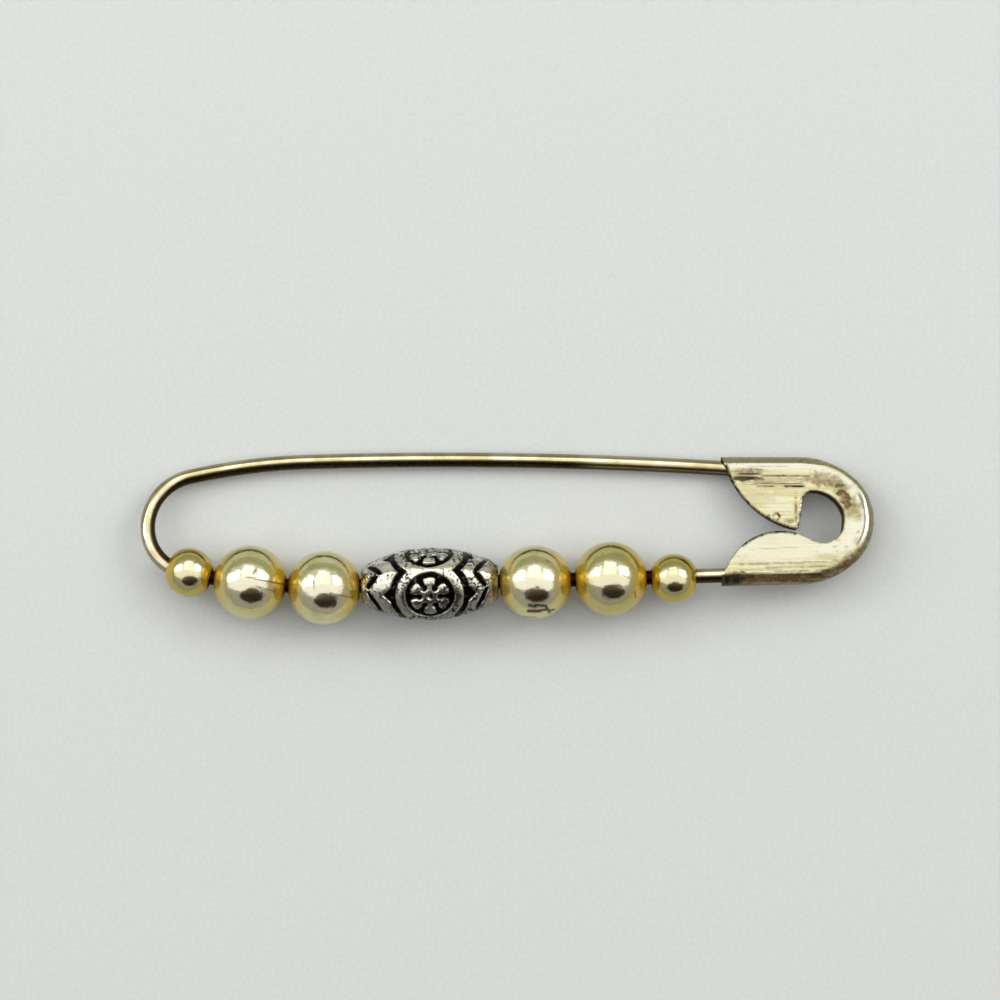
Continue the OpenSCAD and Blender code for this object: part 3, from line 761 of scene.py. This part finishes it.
def capFold(outline, normals):
    # the strip round the fold: from the crease over the edge to the crease behind
    width, drop = cap["foldWidth"], cap["foldDrop"]
    farShare = smoothStep(normals[:, 0], *cap["endTurn"])
    crease = np.radians(cap["creaseSlope"] + (cap["endCreaseSlope"] - cap["creaseSlope"]) * farShare)
    cornerShare = smoothStep(2 * normals[:, 0] * normals[:, 1], *cap["cornerTurn"])
    bent = width - cap["cornerNarrowing"] * cornerShare
    turns = crease + (math.pi / 2 - crease) * np.linspace(0, 1, cap["foldRows"])[:, None]
    depth = bent * (1 - (np.sin(turns) - np.sin(crease)) / (1 - np.sin(crease)))
    height = cap["thickness"] / 2 - drop + drop * np.cos(turns) / np.cos(crease)
    depth = np.vstack([0 * depth[:1] + width, depth])
    height = np.vstack([height[:1], height])
    depth = np.vstack([depth, 0 * depth[:1], depth[::-1]])
    height = np.vstack([height, 0 * height[:1], -height[::-1]])
    flat = slantedMouth(outline - normals * depth[:, :, None], depth).reshape(-1, 2)
    rows, n = depth.shape
    points = np.column_stack([flat, height.ravel()])
    faces = [(r * n + i, (r + 1) * n + i, (r + 1) * n + i + 1, r * n + i + 1)
             for r in range(rows - 1) for i in range(n - 1)]
    farFromCut = np.full(len(flat), 9.0)
    return points, faces, wearValues(flat, depth.ravel(), farFromCut, True)


def joinSheet(mesh):
    # joins the strip and the faces along their shared edges, with all faces turned out
    join = bmesh.new()
    join.from_mesh(mesh)
    bmesh.ops.remove_doubles(join, verts=join.verts, dist=cap["joinReach"] * mm)
    bmesh.ops.recalc_face_normals(join, faces=join.faces)
    middle = sum((f.calc_center_median() for f in join.faces), Vector()) / len(join.faces)
    if sum(f.calc_area() * f.normal.dot(f.calc_center_median() - middle) for f in join.faces) < 0:
        bmesh.ops.reverse_faces(join, faces=join.faces)
    join.to_mesh(mesh)
    join.free()
    mesh.shade_smooth()


def makeCap():
    outline, normals = capOutline()
    parts = [capFold(outline, normals), capFace(outline, normals, cap["frontTrim"], 1),
             capFace(outline, normals, cap["backTrim"], -1)]
    points, faces = [], []
    for partPoints, partFaces, _ in parts:
        shift = sum(len(p) for p in points)
        points.append(partPoints)
        faces += [tuple(i + shift for i in f) for f in partFaces]
    tarnish, scored, rubbed = (np.concatenate([p[2][i] for p in parts]) for i in range(3))
    points = np.vstack(points) + (cap["mouthX"], cap["bottom"], 0)
    mesh = bpy.data.meshes.new("capSheet")
    mesh.from_pydata(toWorld(points).tolist(), [], faces)
    mesh.materials.append(materials["cap"])
    mesh.materials.append(materials["cutEdge"])
    piece = newPiece("capSheet", mesh)
    storeValues(piece, tarnish=tarnish, scored=scored, rubbed=rubbed)
    joinSheet(mesh)
    adjust(piece.modifiers.new("sheet", "SOLIDIFY"), thickness=cap["sheet"] * mm, offset=-1,
           use_even_offset=True, material_offset=1, material_offset_rim=1)
    adjust(piece.modifiers.new("edges", "BEVEL"), width=cap["edgeRound"] * mm, segments=2,
           limit_method="ANGLE", angle_limit=math.radians(60), material=0)
    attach(piece, "frame")
    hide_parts("cap")
    print("cap:", len(piece.data.polygons), "faces")


makeCap()

# Round beads: one form for all, strung on the wire at their real sizes

roundBeads = {
    "bore": 0.87, "rimRound": 0.04, "rimRings": 7, "rings": 90, "sides": 176,
    # the pale worn top, by height as a share of the radius, and the painted shade inside the bore
    "wornTop": (0.62, 0.93), "boreDark": 0.8,
    # dark marks seen from above: bead number, two ends as shares of its radius, half width in
    # mm and strength
    "marks": [
        (2, (-0.05, 0.16), (0.35, 0.07), 0.05, 0.7), (2, (0.35, 0.07), (0.93, -0.05), 0.06, 0.9),
        (2, (0.2, -0.1), (0.72, -0.24), 0.05, 0.7), (2, (0.14, 0.26), (0.2, 0.33), 0.09, 0.7),
        (3, (0.18, -0.13), (0.78, -0.26), 0.05, 0.85), (3, (-0.26, 0.2), (-0.24, -0.02), 0.05, 0.5),
        (4, (-0.17, -0.61), (0.0, -0.65), 0.13, 1), (4, (0.0, -0.6), (0.27, -0.63), 0.12, 1),
        (4, (-0.19, -0.77), (0.12, -0.77), 0.13, 1), (4, (0.12, -0.75), (0.34, -0.73), 0.1, 1),
        (4, (0.27, -0.63), (0.38, -0.8), 0.11, 1), (4, (0.38, -0.76), (0.5, -0.73), 0.08, 0.9),
        (4, (-0.35, -0.92), (0.05, -0.95), 0.05, 0.6), (4, (0.3, 0.6), (0.36, 0.55), 0.07, 0.4),
        (5, (0.62, -0.35), (0.66, -0.5), 0.06, 0.7), (5, (0.3, 0.12), (0.5, 0.02), 0.04, 0.6),
        (1, (0.3, 0.4), (0.34, 0.44), 0.07, 0.5), (6, (-0.2, 0.35), (0.1, 0.4), 0.05, 0.3)],
    # diameter, slope of its axis and how golden its lacquer is
    "nodes": {
        "bead_1": (4, -15.92, 0.9), "bead_2": (6, -6.15, 0.2), "bead_3": (6, -0.19, 0),
        "bead_4": (6, 1.7, 0.15), "bead_5": (6, 1.7, 0.65), "bead_6": (4, 1.7, 1)}}


def revolved(profile, sides):
    # profile points are (along, out); it turns about x, from end to end and back through the bore
    count = len(profile)
    points, faces = [], []
    for i in range(sides):
        turn = 2 * math.pi * i / sides
        points += [(a, r * math.cos(turn), r * math.sin(turn)) for a, r in profile]
    for i in range(sides):
        for j in range(count):
            a, b = i * count + j, i * count + (j + 1) % count
            c, d = (i + 1) % sides * count + (j + 1) % count, (i + 1) % sides * count + j
            faces.append((a, b, c, d))
    return points, faces


def turnedArc(along, out, radius, turns):
    return [(along + radius * math.cos(t), out + radius * math.sin(t)) for t in turns]


def beadProfile(diameter):
    # the ball from hole to hole, with a rounded rim at each; the bore closes it
    radius, rim, count = diameter / 2, roundBeads["rimRound"], roundBeads["rimRings"]
    rimOut, reach = roundBeads["bore"] + rim, radius - rim
    rimAlong = math.sqrt(reach ** 2 - rimOut ** 2)
    meet = math.atan2(rimOut, rimAlong)
    outer = turnedArc(0, 0, radius, np.linspace(meet, math.pi - meet, roundBeads["rings"]))
    leftTurns = np.linspace(math.pi - meet, 1.5 * math.pi, count)[1:]
    rightTurns = np.linspace(-math.pi / 2, meet, count)[:-1]
    return outer + turnedArc(-rimAlong, rimOut, rim, leftTurns) + turnedArc(rimAlong, rimOut, rim, rightTurns)


def turnedAbout(slope, axis):
    return Matrix.Rotation(math.radians(slope), 3, axis)


def boxMiddle(node):
    low, high = (np.array(corner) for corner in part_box(node))
    return (low + high) / 2


def beadMarks(bead, placed, diameter):
    # the dark marks of one bead, on its upper half
    marks = np.zeros(len(placed))
    for number, start, end, width, strength in roundBeads["marks"]:
        if number == bead:
            ends = np.array([start, end]) * diameter / 2
            distance = stretchDistance(placed[:, 0], placed[:, 1], *ends)[0]
            line = 1 - smoothStep(distance, width * 0.4, width * 1.6)
            marks = np.maximum(marks, strength * line * (placed[:, 2] > 0))
    return marks


def makeRoundBeads():
    for index, (node, (diameter, slope, golden)) in enumerate(roundBeads["nodes"].items()):
        points, faces = revolved(beadProfile(diameter), roundBeads["sides"])
        local = np.array(points)
        placed = local @ np.array(turnedAbout(-wirePlane["tilt"], "X") @ turnedAbout(slope, "Z")).T
        piece = newMesh("giltBead" + str(index + 1), placed * mm + boxMiddle(node), faces,
                        materials["giltBead"])
        outwards(piece)
        # painted shade inside the bore, kept with the marks
        boreReach = roundBeads["bore"] + 0.3 * roundBeads["rimRound"]
        inBore = np.hypot(local[:, 1], local[:, 2]) < boreReach
        marks = beadMarks(index + 1, placed, diameter)
        worn = smoothStep(placed[:, 2] * 2 / diameter, *roundBeads["wornTop"]) * (1 - 0.3 * golden)
        storeValues(piece, along=local[:, 0] * 2 / diameter, worn=worn,
                    marks=np.maximum(marks, roundBeads["boreDark"] * inBore),
                    golden=np.full(len(placed), golden))
        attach(piece, "frame")
        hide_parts(node)
    print("round beads:", len(roundBeads["nodes"]))


makeRoundBeads()

# Barrel bead: four bulging faces, each with a flower, a groove and strokes sunk round it

barrel = {
    "length": 11.1, "collar": 0.25, "thickness": 5.76, "faceRadius": 4.0032, "endRadius": 1.55,
    "bore": 0.87, "roll": 22, "slope": 1.7, "rows": 236, "turns": 320, "softness": 40,
    "relief": 0.2, "edge": 0.06, "shoulder": 0.35, "endRound": 0.45, "endNarrowing": 0.07,
    "groundRadius": 2.0, "flowerRadius": 1.64, "notchReach": 0.88, "notchRadius": 0.26,
    "slotHalf": 0.15, "slotSpread": 0.25, "slotFlare": 1.05, "roundness": 14, "pitRadius": 0.2,
    "grooveRadius": 3.0, "grooveWidth": 0.46,
    "wedgeIn": 3.1, "wedgeOut": 3.8, "wedgeSlope": 0.95, "wedgeSteepness": 1.38,
    "seed": 4, "wobble": 0.05, "wobbleTurns": 1.4, "castSize": 0.5, "castDepth": 0.012,
    # strokes run between two places, with a half width
    "strokes": [
        ((-4.25, 1.62), (-5.0, 0.45), 0.19), ((-4.98, 0.02), (-3.95, -1.7), 0.2),
        ((3.6, 1.9), (4.5, 0.5), 0.19), ((4.62, 0.22), (3.72, -1.75), 0.2)],
    # rings of each end: how far in from it, radius and patina; then how far in the bore's lie
    "endRings": [(0.17, 1.45, 0.3), (0.06, 1.37, 0.3), (0, 1.25, 0.4), (0, 1.02, 0.6), (0.03, 0.92, 0.8)],
    "boreRings": (0.1, 0.8),
    # where the yellowed lacquer, the dark of the ends, the flower's dark middle and the painted shade on the
    # side facing -y start and where they are full
    "yellowRight": (4.3, 5.3), "yellowLeft": (-4.6, -5.5), "darkRight": (4.8, 5.3),
    "flowerMiddle": (0.75, 0.3), "dullSide": (0.1, 0.7)}


def barrelForm(x, turn):
    # distance from the bead's axis to its nearest face, which face, and how far off its middle
    b = barrel
    shift = b["faceRadius"] - b["thickness"] / 2
    half = b["length"] / 2 - b["collar"]
    swell = b["faceRadius"] - b["endRadius"] - shift
    longRadius = (half ** 2 + swell ** 2) / (2 * swell)
    belly = b["faceRadius"] - longRadius + np.sqrt(longRadius ** 2 - x ** 2)
    away = np.stack([turn - k * math.pi / 2 for k in range(4)])
    reach = -shift * np.cos(away) + np.sqrt(belly ** 2 - (shift * np.sin(away)) ** 2)
    face = np.argmin(reach, axis=0)
    radius = np.sum(reach ** -b["softness"], axis=0) ** (-1 / b["softness"])
    across = -radius * np.sin(np.take_along_axis(away, face[None], 0)[0])
    return radius, face, across


def flowerPattern(x, y):
    # negative inside the flower: a disc less six notches
    b = barrel
    flower = np.hypot(x, y) - b["flowerRadius"]
    for turn in np.radians(np.arange(0, 360, 60)):
        # between two petals: a round-headed notch that opens outwards
        along = x * math.cos(turn) + y * math.sin(turn)
        aside = np.abs(y * math.cos(turn) - x * math.sin(turn))
        notch = np.hypot(along - b["notchReach"], aside) - b["notchRadius"]
        flared = b["slotHalf"] + b["slotSpread"] * (along - b["slotFlare"])
        slot = np.maximum(aside - flared, b["notchReach"] - along)
        softened = np.logaddexp(b["roundness"] * flower, -b["roundness"] * np.minimum(notch, slot))
        flower = softened / b["roundness"]
    return flower


def sunkPattern(x, y):
    # negative inside the sunk ground, the groove, its wedges, the strokes and the middle's pit
    b = barrel
    out = np.hypot(x, y)
    ground = np.maximum(out - b["groundRadius"], -flowerPattern(x, y))
    groove = np.abs(out - b["grooveRadius"]) - b["grooveWidth"] / 2
    slant = np.abs(x) - b["wedgeOut"] + b["wedgeSlope"] * np.abs(y)
    wedge = np.maximum(b["wedgeIn"] - np.abs(x), slant / b["wedgeSteepness"])
    pit = 0.5 * (out - b["pitRadius"]) + 0.02
    sunk = np.minimum.reduce([ground, groove, wedge, pit])
    for start, end, width in b["strokes"]:
        distance, share = stretchDistance(x, y, start, end)
        sunk = np.minimum(sunk, distance - width * (0.55 + 1.8 * share * (1 - share)))
    return sunk


def barrelBody():
    # the bead's surface between its collars, and how dark the oxide lies on it
    b = barrel
    half = b["length"] / 2 - b["collar"]
    turns = np.linspace(0, 2 * math.pi, b["turns"], endpoint=False)
    x, turn = np.meshgrid(np.linspace(-half, half, b["rows"]), turns, indexing="ij")
    radius, face, across = barrelForm(x, turn)
    spots = list(zip(x.ravel(), across.ravel(), face.ravel()))
    # without a seed noise_vector starts from the clock
    noise.seed_set(b["seed"])
    wobble = b["wobble"] * np.array([
        noise.noise_vector((px * b["wobbleTurns"], py * b["wobbleTurns"], 5.0 * k)) for px, py, k in spots])
    cast = np.array([
        noise.fractal((px / b["castSize"], py / b["castSize"], 9.0 * k), 0.6, 2, 4) for px, py, k in spots])
    cast = cast.reshape(x.shape)
    sunk = sunkPattern(x + wobble[:, 0].reshape(x.shape), across + wobble[:, 1].reshape(x.shape))
    depth = 1 - smoothStep(sunk, -b["edge"], b["edge"])
    shoulder = 1 - smoothStep(sunk, 0, b["shoulder"])
    radius = radius - b["relief"] * (0.85 * depth + 0.15 * shoulder) - b["castDepth"] * (0.5 + 0.5 * cast)
    radius = radius * (1 - b["endNarrowing"] * smoothStep(np.abs(x), half - b["endRound"], half) ** 2)
    middle = 0.6 * smoothStep(np.hypot(x, across), *b["flowerMiddle"])
    patina = np.clip(depth + 0.4 * shoulder * (0.5 + cast) + middle * (0.6 + cast), 0, 1)
    return x, turn, radius, patina


def makeBarrel():
    b = barrel
    x, turn, radius, patina = barrelBody()
    half = b["length"] / 2
    rows = [[x, radius, patina]]
    for inset, out, dark in b["endRings"] + [(inset, b["bore"], 1) for inset in b["boreRings"]]:
        ring = np.ones((1, b["turns"]))
        rows.append([(half - inset) * ring, out * ring, dark * ring])
        rows.insert(0, [-(half - inset) * ring, out * ring, dark * ring])
    x, radius, patina = (np.vstack([r[i] for r in rows]) for i in range(3))
    turn = np.tile(turn[0], (len(x), 1))
    local = np.stack([x, -radius * np.sin(turn), radius * np.cos(turn)], 2).reshape(-1, 3)
    lean = turnedAbout(-wirePlane["tilt"], "X") @ turnedAbout(b["slope"], "Z")
    lean = lean @ turnedAbout(b["roll"] + wirePlane["tilt"], "X")
    points = local @ np.array(lean).T * mm + boxMiddle("barrel_bead")
    points[:, 2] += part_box("barrel_bead")[0][2] - points[:, 2].min()
    count, around = x.shape
    faces = [(i * around + j, i * around + (j + 1) % around, (i + 1) % count * around + (j + 1) % around,
              (i + 1) % count * around + j) for i in range(count) for j in range(around)]
    piece = newMesh("castBarrelBead", points, faces, materials["silver"])
    outwards(piece)
    normals = np.empty(3 * len(points), np.float32)
    piece.data.vertex_normals.foreach_get("vector", normals)
    endShare = smoothStep(x, *b["yellowRight"]) + 0.4 * smoothStep(x, *b["yellowLeft"])
    patina = np.maximum(patina, 0.35 * smoothStep(x, *b["darkRight"]))
    # dullSide: painted shade on the side facing -y
    storeValues(piece, patina=patina, endShare=endShare, dull=smoothStep(-normals[1::3], *b["dullSide"]))
    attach(piece, "frame")
    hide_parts("barrel_bead")
    print("barrel:", len(piece.data.polygons), "faces")


makeBarrel()

# Floor, light and camera

# pixels to a mm, the pixel over the frame's origin, and in metres the camera's distance from what
# it looks at and that thing's height
photoView = {"pixels": 1000, "scale": 12.33, "centre": (507.1, 538.5), "distance": 0.45, "height": 0.003,
             "sensor": 36}

# In metres. The softbox is six panels, each with its middle, width, depth and share of the radiance:
# a broad one, three over its +y side with the outer two bright, and two beyond. The card keeps the
# -y side dark; it is an oval as a bead mirrors it, placed and sized in shares of the bead's radius.
studio = {
    "height": 0.6, "radiance": 1.65, "fill": 1.0, "floorHalf": 1.5,
    "panels": [
        (-0.5, -0.1, 3.0, 0.5, 0.6), (-1.225, 0.355, 1.55, 0.41, 3), (-0.05, 0.355, 0.6, 0.41, 0.87),
        (0.665, 0.355, 0.67, 0.41, 3), (-0.06, 0.69, 0.5, 0.22, 1.5), (-0.3, 0.85, 2.4, 0.5, 0.2)],
    "cardMiddle": (0.05, -0.34), "cardReach": (0.32, 0.21), "cardPoints": 40, "cardBelow": 0.02,
    "cardShade": (-0.55, -0.15), "fillShade": (-0.6, 0.8)}


def makeFloor():
    material, tree, shader = newMaterial("paleFloor")
    grain = noiseShare(tree, ownPlace(tree), 0.3, 4, 0.7)
    colour = mixColour(tree, spread(tree, grain, 0.3, 0.7), "#BBBEC2", "#C5C7CB")
    feed(tree, shader, {"Base Color": colour, "Roughness": 0.7})
    h = studio["floorHalf"]
    corners = [(-h, -h, 0), (h, -h, 0), (h, h, 0), (-h, h, 0)]
    newMesh("floor", corners, [(0, 1, 2, 3)], material, False)


def makePanel(name, place, size, radiance):
    # a softbox panel that faces straight down
    width, depth = size
    lamp = adjust(bpy.data.lights.new(name, "AREA"), shape="RECTANGLE", size=width, size_y=depth,
                  energy=radiance * math.pi * width * depth, color=hexColour("#FFFEFC")[:3])
    down = Vector((0, 0, 1)).to_track_quat("Z", "Y").to_euler()
    adjust(newPiece(name, lamp), location=place, rotation_euler=down)


def makeCard():
    material, tree, shader = newMaterial("darkCard")
    place = addNode(tree, "ShaderNodeSeparateXYZ", {"Vector": ownPlace(tree)}).outputs["Y"]
    # painted light on the card: lighter towards +y, darker towards -y
    shade = mixColour(tree, spread(tree, place, *studio["cardShade"]), "#452F1D", "#9A8268")
    feed(tree, shader, {"Base Color": shade, "Roughness": 1})
    (middleX, middleY), (reachX, reachY) = studio["cardMiddle"], studio["cardReach"]
    height = studio["height"] - studio["cardBelow"]
    edge = []
    for turn in np.linspace(0, 2 * math.pi, studio["cardPoints"], endpoint=False):
        u, v = middleX + reachX * math.cos(turn), middleY + reachY * math.sin(turn)
        out = math.hypot(u, v)
        away = height * math.tan(2 * math.asin(out))
        edge.append((away * u / out, away * v / out, height))
    card = newMesh("darkCard", edge, [tuple(range(len(edge)))], material, False)
    card.visible_camera = False


def makeWorld():
    # weak light from all round, a little greener from the +y side
    world = bpy.data.worlds.new("studio")
    bpy.context.scene.world = world
    world.use_nodes = True
    tree = world.node_tree
    tree.nodes.clear()
    everywhere = addNode(tree, "ShaderNodeTexCoord").outputs["Generated"]
    way = addNode(tree, "ShaderNodeSeparateXYZ", {"Vector": everywhere}).outputs["Y"]
    colour = mixColour(tree, spread(tree, way, *studio["fillShade"]), "#B4B4B0", "#B9BC9F")
    background = addNode(tree, "ShaderNodeBackground", {"Color": colour, "Strength": studio["fill"]})
    addNode(tree, "ShaderNodeOutputWorld", {"Surface": background.outputs["Background"]})


def makeStage():
    makeFloor()
    for index, (x, y, width, depth, share) in enumerate(studio["panels"]):
        makePanel("softbox" + str(index + 1), (x, y, studio["height"]), (width, depth),
                  share * studio["radiance"])
    makeCard()
    makeWorld()
    print("stage:", len(studio["panels"]), "panels")


def makeCamera():
    pixel, (cx, cy), far = mm / photoView["scale"], photoView["centre"], photoView["distance"]
    middle = photoView["pixels"] / 2
    lens = photoView["sensor"] * far / (photoView["pixels"] * pixel)
    data = adjust(bpy.data.cameras.new("camera"), sensor_width=photoView["sensor"], lens=lens,
                  clip_start=0.01)
    place = ((middle - cx) * pixel, (cy - middle) * pixel, far + photoView["height"])
    bpy.context.scene.camera = adjust(newPiece("camera", data), location=place)
    print("camera: lens", round(lens, 1))


makeStage()
makeCamera()
bpy.context.scene.view_settings.view_transform = "Standard"
